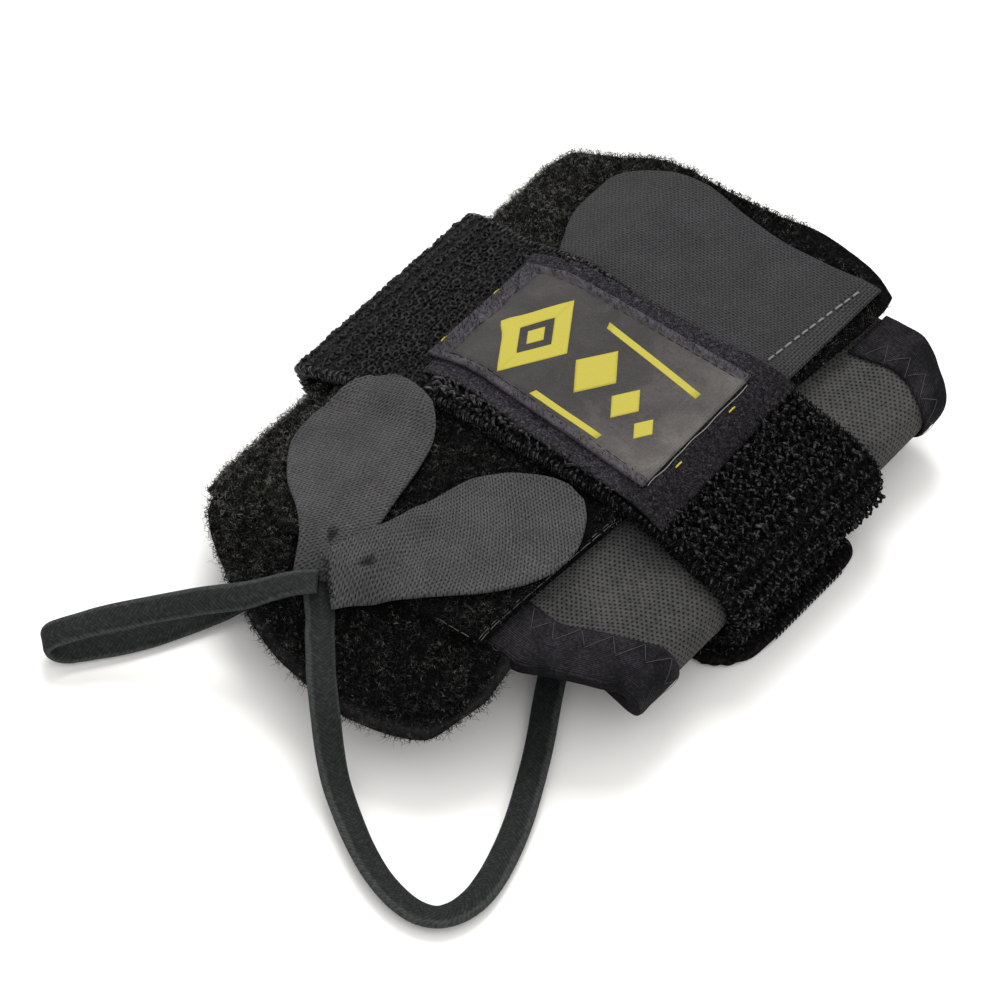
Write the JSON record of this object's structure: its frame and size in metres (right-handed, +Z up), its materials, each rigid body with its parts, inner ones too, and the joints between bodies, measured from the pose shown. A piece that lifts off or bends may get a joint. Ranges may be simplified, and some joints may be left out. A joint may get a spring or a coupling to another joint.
{
  "type": "wrist support glove",
  "caption": "Soft wrist wrap lying flat: loop fabric and elastic tube, wrapped knitted band with a woven label, hook closure tab and two elastic finger cords ending in hook tabs.",
  "frame": {"origin": "on the surface it rests on, at the middle of the outline seen from above, without the finger cords and their tabs", "axes": "+X across the wrist, +Y along the wrist from the finger side to the forearm side, +Z up from the surface it lies on"},
  "size_m": [0.1228, 0.1907, 0.0313],
  "materials": {
    "loop_fabric": "fuzzy brushed loop fabric",
    "grey_elastic": "matt grey elastic with a dotted weave",
    "edge_binding": "fine ribbed folded tape",
    "knit_band": "ribbed shaggy knit",
    "hook_fabric": "finely woven matt hook tape backing",
    "patch_fabric": "short napped fabric",
    "label_satin": "woven satin label",
    "cord_braid": "flat braided elastic"
  },
  "bodies": {
    "root": {"loop_base_panel": "loop_fabric", "loop_top_flap": "loop_fabric", "elastic_side_panel": "grey_elastic", "near_edge_binding": "edge_binding", "far_edge_binding": "edge_binding", "knit_wrap_band": "knit_band", "hook_closure_tab": "hook_fabric", "label_patch": "patch_fabric", "woven_label": "label_satin", "finger_tab_left": "hook_fabric", "finger_tab_right": "hook_fabric", "finger_cord_front": "cord_braid", "finger_cord_side": "cord_braid"}
  },
  "joints": []
}
